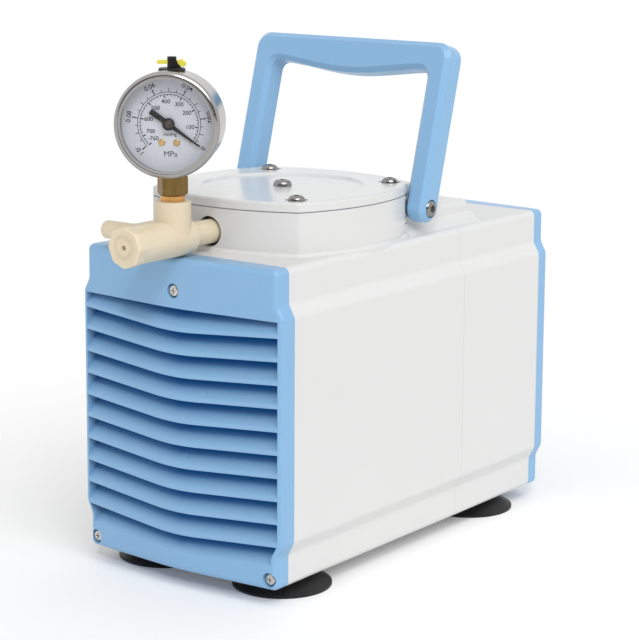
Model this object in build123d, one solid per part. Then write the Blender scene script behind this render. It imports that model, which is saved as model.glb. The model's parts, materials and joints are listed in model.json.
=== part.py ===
"""Oil-free diaphragm vacuum pump: a box-shaped housing with louvred covers, a square pump head on top
with a dial vacuum gauge on a nylon cross fitting, and a folding carrying handle.

The parts are drawn in millimetres with Y = 0 at the front face of the white housing and Z = 0 at its
underside: X to the right, Y to the back, Z up. save() then moves each of them into the part's frame,
whose origin is on the floor under the middle of the whole pump.
"""

from build123d import *

import os
from math import cos, radians, sin, sqrt, tan

# Housing and covers
HOUSING_L = 238.4
HOUSING_H = 170.0
HALF_NARROW = 65.4
HALF_WIDE = 69.2
SHOULDER_LOW = (18.0, 25.0)
SHOULDER_HIGH = (144.5, 151.0)
CORNER_R = 3.5
SHOULDER_R = 5.0
WALL = 3.0
SPLIT_Y = 158.0
COVER_EDGE = 10.1
COVER_PEAK = 5.6
COVER_PEAK_R = 180.0
COVER_WALL = 3.2
COVER_EDGE_R = 3.4

# Louvres
BLADE_COUNT = 10
REAR_BLADE_COUNT = 6
BLADE_PITCH = 12.3
BLADE_FIRST_Z = 135.2
BLADE_THICK = 2.2
BLADE_SLOPE = 40.0
BLADE_BACK = 1.4
WINDOW_TOP = 143.3

# Screws of the covers
COVER_SCREWS = ((-60.7, 5.8), (60.7, 5.8), (0.0, 152.4))
COVER_SCREW_R = 1.9
COVER_SCREW_HEAD_R = 3.3
COUNTERBORE_R = 3.9
COUNTERBORE_DEPTH = 2.6
COVER_BOSS_R = 4.6
HOUSING_BOSS_R = 5.2
HOUSING_BOSS_L = 14.0
COVER_SCREW_END = 11.0

# Feet
FOOT_H = 9.3
FOOT_R = 27.0
FOOT_X = 41.0
FOOT_Y = (25.9, 207.7)
FOOT_BOSS_R = 8.0
FOOT_SCREW_R = 2.0

# Pump head
HEAD_Y = 78.0
HEAD_HALF = 63.6
HEAD_CORNER = 50.8
HEAD_CORNER_R = 4.0
PLATE_BOTTOM = 193.1
PLATE_TOP = 198.6
PLATE_DISH_R = 45.0
PLATE_DISH_DEPTH = 1.2
PLATE_DISH_WALL = 1.5
PLATE_RECESS_R = 6.2
PLATE_RECESS_DEPTH = 0.9
HEAD_BASE_GROW = 1.8
HEAD_SKIRT = 3.0
HEAD_SCREW_PITCH = 42.5
HEAD_SCREW_R = 2.2
HEAD_HOLE_R = 2.3
HEAD_SCREW_END = 164.0
HEAD_SCREW_HEAD_R = 4.6
CENTRE_SCREW_HEAD_R = 5.2
DOME_H = 3.4
CENTRE_SCREW_END = 186.0
PAD_H = 8.0
CHAMBER_R = 42.0
VALVE_SEAT_Z = 178.0
VALVE_PLATE_TOP = 181.0
VALVE_OFFSET = 20.0
MANIFOLD_FLOOR = 184.0
POCKET_HALF = 16.0
INTAKE_POCKET_Y = (25.0, 72.0)
EXHAUST_POCKET_Y = (84.0, 131.0)
EXHAUST_Y = 126.5
VALVE_PLATE_R = 36.0
VALVE_STEM_R = 1.5
VALVE_DISC_R = 7.0

# Intake line
PORT_Z = 180.2
PORT_HOLE_R = 8.2
NIPPLE_R = 6.5
CROSS_Y = -14.5
BARREL_R = 9.8
BOSS_R = 9.6
BOSS_TOP = 200.2
KNOB_R = 10.7
KNOB_FACE_Y = -52.7
KNOB_BACK_Y = -46.3
BARREL_END_Y = -46.0
NOZZLE_R = 4.9
NOZZLE_END_X = -47.5
STEM_R = 4.42
KNOB_SPIGOT_R = 3.0
BARREL_BORE_R = 4.5

# Gauge
GAUGE_Z = 241.1
GAUGE_TURN = 30.0
BEZEL_R = 27.6
CASE_R = 26.6
CASE_WALL = 1.2
DIAL_R = 24.4
CASE_BACK = -11.0
BEZEL_BACK = 9.0
BEZEL_FRONT = 17.0
BEZEL_ROLL = 2.6
GLASS_T = 1.4
DIAL_AT = 8.5
DIAL_T = 0.8
DIAL_SCREW_X = 3.9
DIAL_SCREW_Z = -9.6
POINTER_ZERO = -35.0
POINTER_R = 19.6
HEX_AF = 14.0
HEX_Z = (203.0, 213.4)
COLLAR_R = 6.3
PLUG_R = 7.0
PLUG_H = 1.4
POST_R = 2.4
POST_PEG_R = 1.25
LEVER_LOW = 3.4
LEVER_T = 2.0
LEVER_REACH = 7.7
POST_TOP = 7.2

# Handle
PIVOT_Y = 124.0
PIVOT_Z = 185.5
HANDLE_LEAN = 15.5
HANDLE_HALF = 68.3
HANDLE_THICK = 13.3
HANDLE_DEPTH = 16.0
HANDLE_CHAMFER = 2.8
HANDLE_H = 92.0
GRIP_H = 15.5
GRIP_SAG = 4.8
HANDLE_SCREW_HEAD_R = 4.8
HANDLE_SEAT_GAP = 0.3
HANDLE_PIN_R = 3.0
HANDLE_BORE_R = 3.05
HANDLE_THREAD_R = 2.6
HANDLE_THREAD_X = 47.0
HANDLE_LUG_X = HANDLE_HALF - HANDLE_THICK - 1.0
HANDLE_SEAT_X = HANDLE_HALF - 2.0
WASHER_T = 0.9
HANDLE_LUG_R = 6.0
HEAD_NOTCH_STEP = 3.0

# Exhaust fairing behind the head
FAIRING_Y = (138.0, 187.0)
FAIRING_TOP = 182.8
FAIRING_ROOF = 3.0
EXHAUST_Z = 175.2
EXHAUST_R = 3.5

# Drive
SHAFT_Z = 78.0
SHAFT_R = 6.0
CRANK_THROW = 3.0
STATOR_R = 48.0
ROTOR_R = 25.6
STATOR_Y = (128.0, 188.0)
DIAPHRAGM_T = 2.0
DISC_R = 28.0
GASKET_T = 0.6
ROD_TOP = HOUSING_H - DIAPHRAGM_T - CRANK_THROW - 1.0
CRANK_Z = SHAFT_Z - CRANK_THROW
ROD_Y = (72.0, 84.0)
BEARING_R = 14.0
BEARING_W = 10.0
FRONT_BEARING_Y = 103.0
REAR_BEARING_Y = 205.0
CAPACITOR_R = 17.0
CAPACITOR_Y = (84.0, 144.0)

# Rear panel
PANEL_Z = (22.0, 62.0)
PANEL_HALF = 50.0
PANEL_OUT = 9.0
PANEL_THICK = 3.0
PANEL_MID_Z = 42.0
INLET_X = -20.0
INLET_CUT = (27.6, 20.0)
INLET_EAR = 20.0
SWITCH_X = 24.0
SWITCH_CUT = (13.2, 19.2)
ROCKER_PIVOT = -2.5
ROCKER_TILT = 7.0
ROCKER_PIN_R = 0.95

NOSE_ROUNDING = COVER_PEAK_R * (sqrt(1 + (COVER_PEAK / HALF_WIDE) ** 2) - 1)
REAR_Y = HOUSING_L + COVER_EDGE + COVER_PEAK - NOSE_ROUNDING
MID_Y = (KNOB_FACE_Y + REAR_Y) / 2


def save(name, shape):
    """Write one node, moved to the part's own frame."""
    export_step(Pos(0, -MID_Y, FOOT_H) * shape, f"parts/{name}.step")


def block(x, y, z):
    """Box between the given pairs of bounds."""
    size = (x[1] - x[0], y[1] - y[0], z[1] - z[0])
    middle = ((x[0] + x[1]) / 2, (y[0] + y[1]) / 2, (z[0] + z[1]) / 2)
    return Pos(*middle) * Box(*size)


def bar_x(radius, start, end, y, z):
    return Pos((start + end) / 2, y, z) * Rot(0, 90, 0) * Cylinder(radius, abs(end - start))


def bar_y(radius, start, end, x, z):
    return Pos(x, (start + end) / 2, z) * Rot(90, 0, 0) * Cylinder(radius, abs(end - start))


def bar_z(radius, start, end, x, y):
    return Pos(x, y, (start + end) / 2) * Cylinder(radius, abs(end - start))


def extrude_y(face, start, end):
    """Extrude a face drawn with local axes X and Z from Y = start to Y = end."""
    plane = Plane(origin=(0, start, 0), x_dir=(1, 0, 0), z_dir=(0, -1, 0))
    return extrude(plane * face, amount=-(end - start))


def revolve_z(points, x=0.0, y=0.0):
    """Solid of revolution about a vertical axis from (radius, height) points."""
    profile = make_face(Plane.XZ * Polyline(*points, close=True))
    return Pos(x, y, 0) * revolve(profile, Axis.Z)


def revolve_y(points):
    """Solid of revolution about the Y axis from (radius, y) points."""
    profile = make_face(Plane.XY * Polyline(*points, close=True))
    return revolve(profile, Axis.Y)


def housing_section(inset=0.0):
    """Cross-section of the housing: a wide belt between a narrower foot and a narrower top."""
    low, belt_low = SHOULDER_LOW
    belt_high, high = SHOULDER_HIGH
    half = [
        (HALF_NARROW - inset, inset),
        (HALF_NARROW - inset, low),
        (HALF_WIDE - inset, belt_low),
        (HALF_WIDE - inset, belt_high),
        (HALF_NARROW - inset, high),
        (HALF_NARROW - inset, HOUSING_H - inset),
    ]
    face = make_face(Polyline(*half, *[(-x, z) for x, z in reversed(half)], close=True))
    corners = [v for v in face.vertices() if abs(v.Y - inset) < 0.1 or abs(v.Y - HOUSING_H + inset) < 0.1]
    face = fillet(corners, max(CORNER_R - inset, 0.8))
    shoulders = [v for v in face.vertices() if low - 0.1 < v.Y < high + 0.1]
    return fillet(shoulders, SHOULDER_R)


# ---------------------------------------------------------------- housing


def screw_boss(x, z, start, end):
    """Boss inside the housing that a cover screw bites in."""
    boss = bar_y(HOUSING_BOSS_R, start, end, x, z)
    if z > HOUSING_H / 2:
        boss += block((x - HOUSING_BOSS_R, x + HOUSING_BOSS_R), (start, end), (z, HOUSING_H - WALL / 2))
    return boss


def housing_shell(start, end):
    """Open-ended tube of the housing, with the bosses at its outer end."""
    shell = extrude_y(housing_section(), start, end) - extrude_y(housing_section(WALL), start, end)
    keep = extrude_y(housing_section(0.4), start, end)
    at_front = start == 0
    boss_y = (start, start + HOUSING_BOSS_L) if at_front else (end - HOUSING_BOSS_L, end)
    hole_y = (-1, HOUSING_BOSS_L - 2) if at_front else (end - HOUSING_BOSS_L + 2, end + 1)
    for x, z in COVER_SCREWS:
        shell += screw_boss(x, z, *boss_y) & keep
        shell -= bar_y(COVER_SCREW_R, *hole_y, x, z)
    return shell


def add_foot_bosses(shell, y):
    """Bosses on the housing floor for the screws of two feet."""
    for x in (-FOOT_X, FOOT_X):
        shell += bar_z(FOOT_BOSS_R, 0.5, 9, x, y)
        shell -= bar_z(FOOT_SCREW_R, -1, 9.5, x, y)
    return shell


def housing_front():
    """Front part of the housing with the thick pad that the pump head is bolted down on."""
    pad_under = HOUSING_H - PAD_H
    shell = housing_shell(0, SPLIT_Y)
    shell += block((-60, 60), (14, 141), (pad_under, HOUSING_H - WALL / 2))
    shell -= bar_z(CHAMBER_R, pad_under - 1, HOUSING_H + 1, 0, HEAD_Y)
    shell -= bar_z(CHAMBER_R + 10.5, HOUSING_H - DIAPHRAGM_T, HOUSING_H + 1, 0, HEAD_Y)
    for x, y in head_screw_places():
        shell -= bar_z(HEAD_HOLE_R, pad_under - 1, HOUSING_H + 1, x, y)
    return add_foot_bosses(shell, FOOT_Y[0])


def housing_rear():
    """Rear part of the housing, with a tongue that slides inside the front part."""
    shell = housing_shell(SPLIT_Y, HOUSING_L)
    tongue = extrude_y(housing_section(WALL), SPLIT_Y - 4, SPLIT_Y + 4)
    tongue -= extrude_y(housing_section(WALL + 1.8), SPLIT_Y - 4, SPLIT_Y + 4)
    return add_foot_bosses(shell + tongue, FOOT_Y[1])


# ---------------------------------------------------------------- louvred covers


def cover_plan(grow=0.0):
    """Plan of a cover: two flats that meet in a rounded nose in the middle."""
    edge = HALF_WIDE + 1
    back = COVER_EDGE - COVER_PEAK / HALF_WIDE + grow
    nose = COVER_EDGE + COVER_PEAK + grow
    outline = Polyline((-edge, 0), (-edge, -back), (0, -nose), (edge, -back), (edge, 0), close=True)
    face = make_face(outline)
    tip = [v for v in face.vertices() if abs(v.X) < 0.1]
    return fillet(tip, COVER_PEAK_R)


def cover_envelope(inset=0.0):
    """Outer body of a cover, or its inside when inset is given."""
    plan = extrude(cover_plan(-inset), amount=HOUSING_H)
    body = extrude_y(housing_section(inset), -COVER_EDGE - COVER_PEAK - 1, 0) & plan
    if inset:
        return body
    front_edges = [e for e in body.edges() if e.center().Y < -COVER_EDGE + 1.5]
    return fillet(front_edges, COVER_EDGE_R)


def blade(index):
    """One inclined louvre blade, before it is trimmed to the cover."""
    slope = tan(radians(BLADE_SLOPE))
    nose = -COVER_EDGE - COVER_PEAK
    low = BLADE_FIRST_Z - BLADE_PITCH * index
    drop = (COVER_PEAK + 0.5) * slope
    rise = (COVER_EDGE - BLADE_BACK) * slope
    lower = [(nose - 0.5, low - drop), (-BLADE_BACK, low + rise)]
    upper = [(y, z + BLADE_THICK) for y, z in reversed(lower)]
    profile = make_face(Plane.YZ * Polyline(*lower, *upper, close=True))
    return extrude(profile, amount=HALF_WIDE, both=True)


def window_cutter(blade_count):
    """Cut of the louvre window: from a straight top edge down to the sloping sill."""
    slope = tan(radians(BLADE_SLOPE))
    sill = BLADE_FIRST_Z - BLADE_PITCH * blade_count + BLADE_THICK - 0.6
    front = -COVER_EDGE - COVER_PEAK - 1
    outline = [
        (front, sill + (front + COVER_EDGE) * slope),
        (-2.0, sill + (COVER_EDGE - 2.0) * slope),
        (-2.0, WINDOW_TOP),
        (front, WINDOW_TOP),
    ]
    profile = make_face(Plane.YZ * Polyline(*outline, close=True))
    return extrude(profile, amount=HALF_WIDE, both=True)


def screw_face(x):
    """Y of the cover's outer face where a screw at this x sits."""
    return -COVER_EDGE if x else NOSE_ROUNDING - COVER_EDGE - COVER_PEAK


def louvred_cover(blade_count):
    """Moulded cover with a window of inclined blades, facing -Y."""
    outer = cover_envelope()
    front = -COVER_EDGE - COVER_PEAK - 1
    keep = extrude_y(housing_section(COVER_WALL), front, 0)
    blade_keep = extrude_y(housing_section(COVER_WALL - 0.3), front, 0) & outer
    cover = outer - cover_envelope(COVER_WALL) - (window_cutter(blade_count) & keep)
    for index in range(blade_count + 1):
        cover += blade(index) & blade_keep
    for x, z in COVER_SCREWS:
        face = screw_face(x)
        cover += bar_y(COVER_BOSS_R, face + 0.6, 0, x, z) & outer
        cover -= bar_y(COUNTERBORE_R, face - 3, face + COUNTERBORE_DEPTH, x, z)
        cover -= bar_y(COVER_SCREW_R + 0.3, face - 1, 1, x, z)
    return cover


def cover_screw(x, z):
    """Pan-head screw with a cross recess, head in the counterbore, facing -Y."""
    seat = screw_face(x) + COUNTERBORE_DEPTH
    head = bar_y(COVER_SCREW_HEAD_R, seat - 2.1, seat, x, z)
    head = fillet(head.edges().sort_by(Axis.Y)[0], 1.2)
    screw = head + bar_y(COVER_SCREW_R, seat, COVER_SCREW_END, x, z)
    for turn in (0, 90):
        screw -= Pos(x, seat - 2.1, z) * Rot(0, turn, 0) * Box(3.4, 2.0, 0.7)
    return screw


def to_rear(shape):
    """Turn a piece of the front end round to the rear end."""
    return Pos(0, HOUSING_L, 0) * Rot(0, 0, 180) * shape


def rear_cover():
    """Rear cover: shorter louvre window and a recessed flat panel for the inlet and the switch."""
    cover = to_rear(louvred_cover(REAR_BLADE_COUNT))
    face = HOUSING_L + PANEL_OUT
    around = block(
        (-PANEL_HALF - 3, PANEL_HALF + 3),
        (face - PANEL_THICK, face + 3.2),
        (PANEL_Z[0] - 3, PANEL_Z[1] + 3),
    )
    cover += around & to_rear(cover_envelope())
    cover -= block((-PANEL_HALF, PANEL_HALF), (face, face + 20), PANEL_Z)
    for x, (width, height) in ((INLET_X, INLET_CUT), (SWITCH_X, SWITCH_CUT)):
        cover -= Pos(x, face - 2, PANEL_MID_Z) * Box(width, 8, height)
    for x in (INLET_X - INLET_EAR, INLET_X + INLET_EAR):
        cover -= bar_y(1.6, face - 6, face + 1, x, PANEL_MID_Z)
    return cover


# ---------------------------------------------------------------- inlet and switch


def inlet_body():
    """Appliance inlet with two screw ears, its well open to the back."""
    face = HOUSING_L + PANEL_OUT
    flange = Pos(INLET_X, face + 1.25, PANEL_MID_Z) * Box(49, 2.5, 22)
    flange = chamfer(flange.edges().filter_by(Axis.Y), 5)
    core = Pos(INLET_X, face - 8, PANEL_MID_Z) * Box(27.4, 16, 19.8)
    well = Pos(INLET_X, face - 5, PANEL_MID_Z) * Box(24.0, 16, 16.5)
    well = chamfer(well.edges().filter_by(Axis.Y).group_by(Axis.Z)[-1], 5)
    body = flange + core - well
    for x in (INLET_X - INLET_EAR, INLET_X + INLET_EAR):
        body -= bar_y(1.6, face - 1, face + 4, x, PANEL_MID_Z)
    for x, z in inlet_pin_places():
        body -= block((x - 1, x + 1), (face - 17, face - 10), (z - 2, z + 2))
    return body


def inlet_pin_places():
    return [(INLET_X, PANEL_MID_Z + 2), (INLET_X - 7, PANEL_MID_Z - 2), (INLET_X + 7, PANEL_MID_Z - 2)]


def inlet_pins():
    """Three flat contact blades, earth above, with their tails behind the inlet."""
    face = HOUSING_L + PANEL_OUT
    pins = [block((x - 1, x + 1), (face - 18.6, face - 3), (z - 2, z + 2)) for x, z in inlet_pin_places()]
    return Compound(children=pins)


def inlet_screws():
    face = HOUSING_L + PANEL_OUT
    screws = []
    for x in (INLET_X - INLET_EAR, INLET_X + INLET_EAR):
        head = bar_y(2.8, face + 2.5, face + 4.2, x, PANEL_MID_Z)
        head = fillet(head.edges().sort_by(Axis.Y)[-1], 0.9)
        head -= Pos(x, face + 4.2, PANEL_MID_Z) * Box(3.4, 1.4, 0.7)
        head -= Pos(x, face + 4.2, PANEL_MID_Z) * Box(0.7, 1.4, 3.4)
        screws.append(head + bar_y(1.6, face - 7, face + 2.5, x, PANEL_MID_Z))
    return Compound(children=screws)


def switch_body():
    """Rocker switch frame: collar on the panel, hollow body behind it with two pivot holes."""
    face = HOUSING_L + PANEL_OUT
    collar = Pos(SWITCH_X, face + 1, PANEL_MID_Z) * Box(15.5, 2, 21.5)
    body = Pos(SWITCH_X, face - 7, PANEL_MID_Z) * Box(13.0, 14, 19.0)
    well = Pos(SWITCH_X, face - 3, PANEL_MID_Z) * Box(10.6, 14, 16.6)
    pivot = bar_x(ROCKER_PIN_R + 0.05, SWITCH_X - 6.0, SWITCH_X + 6.0, face + ROCKER_PIVOT, PANEL_MID_Z)
    return collar + body - well - pivot


def switch_rocker():
    """Rocker on its two pivot pins, tipped with the upper end out."""
    outline = Polyline((-2.5, -4.5), (5.9, -6.9), (4.1, 0), (5.9, 6.9), (-2.5, 4.5), close=True)
    profile = make_face(Plane.YZ * outline)
    rocker = extrude(profile, amount=5.0, both=True) + bar_x(ROCKER_PIN_R, -5.9, 5.9, 0, 0)
    place = Pos(SWITCH_X, HOUSING_L + PANEL_OUT + ROCKER_PIVOT, PANEL_MID_Z)
    return place * Rot(-ROCKER_TILT, 0, 0) * rocker


# ---------------------------------------------------------------- feet


def foot(x, y):
    """Rubber suction foot: a flared disc, hollow underneath, with a pocket for its screw."""
    profile = [
        (2.3, 0),
        (16.0, 0),
        (17.5, -2.2),
        (24.5, -6.6),
        (FOOT_R, -8.1),
        (FOOT_R, -FOOT_H),
        (22.0, -FOOT_H),
        (15.0, -6.0),
        (7.0, -5.0),
        (7.0, -3.4),
        (2.3, -3.4),
    ]
    return revolve_z(profile, x, y)


def foot_screws():
    screws = []
    for x in (-FOOT_X, FOOT_X):
        for y in FOOT_Y:
            head = bar_z(4.6, -6.2, -3.4, x, y)
            head = fillet(head.edges().sort_by(Axis.Z)[0], 1.2)
            screws.append(head + bar_z(FOOT_SCREW_R, -3.4, 8.5, x, y))
    return Compound(children=screws)


# ---------------------------------------------------------------- pump head


def head_plan(grow=0.0):
    """Rounded square with gently bulging sides."""
    corner = HEAD_CORNER + grow
    middle = HEAD_HALF + grow
    sides = ThreePointArc((-corner, -corner), (0, -middle), (corner, -corner))
    sides += ThreePointArc((corner, -corner), (middle, 0), (corner, corner))
    sides += ThreePointArc((corner, corner), (0, middle), (-corner, corner))
    sides += ThreePointArc((-corner, corner), (-middle, 0), (-corner, -corner))
    face = make_face(sides)
    return Pos(0, HEAD_Y) * fillet(face.vertices(), HEAD_CORNER_R)


def head_screw_places():
    pitch = HEAD_SCREW_PITCH
    return [(sx * pitch, HEAD_Y + sy * pitch) for sx in (-1, 1) for sy in (-1, 1)]


def handle_notches(inner):
    """Room for the two handle legs at the rear corners of the head, outside X = inner."""
    y_front = PIVOT_Y - HANDLE_DEPTH / 2 - 1.0
    z_low = PIVOT_Z - HANDLE_DEPTH / 2 - 1.0
    cut = block((inner, 80), (y_front, 170), (z_low, PLATE_TOP + 5))
    return cut + mirror(cut, Plane.YZ)


def manifold_pockets(bottom, top):
    """Intake pocket in front and exhaust pocket behind, between two heights."""
    span = (-POCKET_HALF, POCKET_HALF)
    return block(span, INTAKE_POCKET_Y, (bottom, top)) + block(span, EXHAUST_POCKET_Y, (bottom, top))


def plate_screw_holes(bottom, top):
    """Holes of the centre screw and the four head screws."""
    holes = bar_z(HEAD_HOLE_R, bottom, top, 0, HEAD_Y)
    for x, y in head_screw_places():
        holes += bar_z(HEAD_HOLE_R, bottom, top, x, y)
    return holes


def head_base():
    """Flange at the foot of the head, which follows the rounded shoulders of the housing down."""
    low = HOUSING_H - HEAD_SKIRT
    base = extrude(Pos(0, 0, low) * head_plan(HEAD_BASE_GROW), amount=HEAD_SKIRT + HEAD_BASE_GROW)
    base = chamfer(base.edges().group_by(Axis.Z)[-1], HEAD_BASE_GROW - 0.2)
    return base - extrude_y(housing_section(), HEAD_Y - 80, HEAD_Y + 80)


def pump_head():
    """Cast head: working chamber below, intake and exhaust manifold pockets above."""
    head = extrude(Pos(0, 0, HOUSING_H) * head_plan(), amount=PLATE_BOTTOM - HOUSING_H) + head_base()
    head -= handle_notches(HANDLE_LUG_X - HEAD_NOTCH_STEP)
    for side in (-1, 1):
        head += bar_x(HANDLE_LUG_R, side * 46.0, side * HANDLE_LUG_X, PIVOT_Y, PIVOT_Z)
        head -= bar_x(HANDLE_THREAD_R, side * HANDLE_THREAD_X, side * 60.0, PIVOT_Y, PIVOT_Z)
    head -= bar_z(CHAMBER_R, HOUSING_H - 1, VALVE_SEAT_Z, 0, HEAD_Y)
    head -= bar_z(VALVE_PLATE_R, VALVE_SEAT_Z - 1, VALVE_PLATE_TOP, 0, HEAD_Y)
    for side in (-1, 1):
        head -= bar_z(10, VALVE_PLATE_TOP - 1, MANIFOLD_FLOOR + 1, 0, HEAD_Y + side * VALVE_OFFSET)
    head -= manifold_pockets(MANIFOLD_FLOOR, PLATE_BOTTOM + 1)
    head -= bar_y(PORT_HOLE_R, 5, 20, 0, PORT_Z)
    head -= bar_y(NIPPLE_R, 19, 28, 0, PORT_Z)
    head -= bar_y(EXHAUST_R, EXHAUST_Y, 145, 0, EXHAUST_Z)
    head -= bar_z(EXHAUST_R, EXHAUST_Z, MANIFOLD_FLOOR + 1, 0, EXHAUST_Y)
    head -= bar_z(HEAD_HOLE_R, PLATE_BOTTOM - 9, PLATE_BOTTOM + 1, 0, HEAD_Y)
    for x, y in head_screw_places():
        head -= bar_z(HEAD_HOLE_R, HOUSING_H - 1, PLATE_BOTTOM + 1, x, y)
    return head


def head_plate():
    """Cover plate with a shallow round dish in its top and a recess about each corner screw."""
    bottom = PLATE_BOTTOM + GASKET_T
    plate = extrude(Pos(0, 0, bottom) * head_plan(), amount=PLATE_TOP - bottom)
    plate = fillet(plate.edges().group_by(Axis.Z)[-1], 1.4)
    floor = PLATE_TOP - PLATE_DISH_DEPTH
    above = PLATE_TOP + 0.01
    dish = [(0, floor), (PLATE_DISH_R - PLATE_DISH_WALL, floor), (PLATE_DISH_R, above), (0, above)]
    plate -= revolve_z(dish, 0, HEAD_Y)
    for x, y in head_screw_places():
        plate -= bar_z(PLATE_RECESS_R, PLATE_TOP - PLATE_RECESS_DEPTH, PLATE_TOP + 1, x, y)
    return plate - handle_notches(HANDLE_LUG_X) - plate_screw_holes(bottom - 1, PLATE_TOP + 1)


def head_gasket():
    """Thin gasket under the cover plate, cut out over the two manifold pockets."""
    low, high = PLATE_BOTTOM - 1, PLATE_BOTTOM + 2
    gasket = extrude(Pos(0, 0, PLATE_BOTTOM) * head_plan(-0.4), amount=GASKET_T)
    gasket -= handle_notches(HANDLE_LUG_X - HEAD_NOTCH_STEP)
    return gasket - manifold_pockets(low, high) - plate_screw_holes(low, high)


def dome_screw(x, y, seat, end, head_r):
    """Button-head socket screw standing on a horizontal face."""
    head = bar_z(head_r, seat, seat + DOME_H, x, y)
    head = fillet(head.edges().group_by(Axis.Z)[-1], DOME_H * 0.8)
    socket = extrude(Pos(x, y, seat + DOME_H - 1.5) * RegularPolygon(1.8, 6), amount=2)
    return head + bar_z(HEAD_SCREW_R, end, seat, x, y) - socket


def head_screws():
    seat = PLATE_TOP - PLATE_RECESS_DEPTH
    screws = [dome_screw(x, y, seat, HEAD_SCREW_END, HEAD_SCREW_HEAD_R) for x, y in head_screw_places()]
    return Compound(children=screws)


def centre_screw():
    return dome_screw(0, HEAD_Y, PLATE_TOP - PLATE_DISH_DEPTH, CENTRE_SCREW_END, CENTRE_SCREW_HEAD_R)


def valve_plate():
    """Round plate with a ring of six ports about each valve's guide hole."""
    low, high = VALVE_SEAT_Z - 1, VALVE_PLATE_TOP + 1
    plate = bar_z(VALVE_PLATE_R - 0.1, VALVE_SEAT_Z, VALVE_PLATE_TOP, 0, HEAD_Y)
    for side in (-1, 1):
        y = HEAD_Y + side * VALVE_OFFSET
        plate -= bar_z(VALVE_STEM_R + 0.06, low, high, 0, y)
        for turn in range(0, 360, 60):
            plate -= bar_z(1.3, low, high, 4.4 * cos(radians(turn)), y + 4.4 * sin(radians(turn)))
    return plate


def valve_disc(side):
    """Umbrella valve: thin disc on a guide stem, below the plate for intake, above it for exhaust."""
    y = HEAD_Y + side * VALVE_OFFSET
    if side < 0:
        disc = bar_z(VALVE_DISC_R, VALVE_SEAT_Z - 0.9, VALVE_SEAT_Z - 0.1, 0, y)
        return disc + bar_z(VALVE_STEM_R, VALVE_SEAT_Z - 0.1, VALVE_PLATE_TOP + 1.5, 0, y)
    disc = bar_z(VALVE_DISC_R, VALVE_PLATE_TOP + 0.1, VALVE_PLATE_TOP + 0.9, 0, y)
    return disc + bar_z(VALVE_STEM_R, VALVE_SEAT_Z + 0.3, VALVE_PLATE_TOP + 0.1, 0, y)


# ---------------------------------------------------------------- diaphragm and drive

def diaphragm():
    """Moulded elastomer disc: clamped rim, sloping convolution, flat middle at bottom dead centre."""
    rim = HOUSING_H - DIAPHRAGM_T
    low = rim - CRANK_THROW - 1.0
    profile = [
        (2.6, low),
        (DISC_R + 1, low),
        (CHAMBER_R - 1.5, rim),
        (CHAMBER_R + 10, rim),
        (CHAMBER_R + 10, rim + DIAPHRAGM_T),
        (CHAMBER_R - 2.5, rim + DIAPHRAGM_T),
        (DISC_R, low + DIAPHRAGM_T),
        (2.6, low + DIAPHRAGM_T),
    ]
    return revolve_z(profile, 0, HEAD_Y)


def clamp_disc():
    """Metal disc over the middle of the diaphragm, countersunk for its screw."""
    seat = ROD_TOP + DIAPHRAGM_T
    top = seat + 2.6
    disc = [(2.6, seat), (DISC_R - 0.5, seat), (DISC_R - 2.5, top), (2.6, top)]
    sink = [(0, seat + 0.6), (2.6, seat + 0.6), (4.6, top), (4.6, top + 1), (0, top + 1)]
    return revolve_z(disc, 0, HEAD_Y) - revolve_z(sink, 0, HEAD_Y)


def diaphragm_screw():
    """Countersunk socket screw that clamps disc and diaphragm on the rod."""
    seat = ROD_TOP + DIAPHRAGM_T + 0.6
    head = revolve_z([(0, seat), (2.6, seat), (4.6, seat + 2.0), (0, seat + 2.0)], 0, HEAD_Y)
    socket = extrude(Pos(0, HEAD_Y, seat + 0.6) * RegularPolygon(1.8, 6), amount=2)
    return head + bar_z(2.6, ROD_TOP - 12, seat, 0, HEAD_Y) - socket


def connecting_rod():
    """Rod with a big eye for its bearing and a flange under the diaphragm."""
    middle = (ROD_Y[0] + ROD_Y[1]) / 2
    eye = bar_y(26, *ROD_Y, 0, CRANK_Z)
    shank = block((-9, 9), (middle - 5, middle + 5), (CRANK_Z + 22, ROD_TOP - 8))
    low, knee = ROD_TOP - 10, ROD_TOP - 4
    flange = revolve_z([(0, low), (10, low), (24, knee), (24, ROD_TOP), (0, ROD_TOP)], 0, HEAD_Y)
    rod = eye + shank + flange
    rod -= bar_y(20, ROD_Y[0] - 1, ROD_Y[1] + 1, 0, CRANK_Z)
    return rod - bar_z(2.6, ROD_TOP - 13, ROD_TOP + 1, 0, HEAD_Y)


def ring_y(outer, inner, start, end, z):
    return bar_y(outer, start, end, 0, z) - bar_y(inner, start - 1, end + 1, 0, z)


def eccentric():
    """Crank boss on the shaft with a half-disc counterweight opposite the throw."""
    boss = bar_y(12 - 0.05, 70, 86, 0, CRANK_Z) + bar_y(15, 86, 90, 0, SHAFT_Z)
    weight = bar_y(34, 90, 98, 0, SHAFT_Z) & block((-40, 40), (80, 100), (SHAFT_Z, SHAFT_Z + 40))
    weight += bar_y(13, 90, 98, 0, SHAFT_Z)
    return boss + weight - bar_y(SHAFT_R, 60, 100, 0, SHAFT_Z)


def motor_shaft():
    shaft = bar_y(SHAFT_R, 68, 232, 0, SHAFT_Z)
    return chamfer(shaft.edges().filter_by(GeomType.CIRCLE), 0.8)


def rotor():
    core = ring_y(ROTOR_R, SHAFT_R, *STATOR_Y, SHAFT_Z)
    for start, end in ((STATOR_Y[0] - 5, STATOR_Y[0]), (STATOR_Y[1], STATOR_Y[1] + 5)):
        core += ring_y(ROTOR_R - 1, 17, start, end, SHAFT_Z)
    return core


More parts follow.
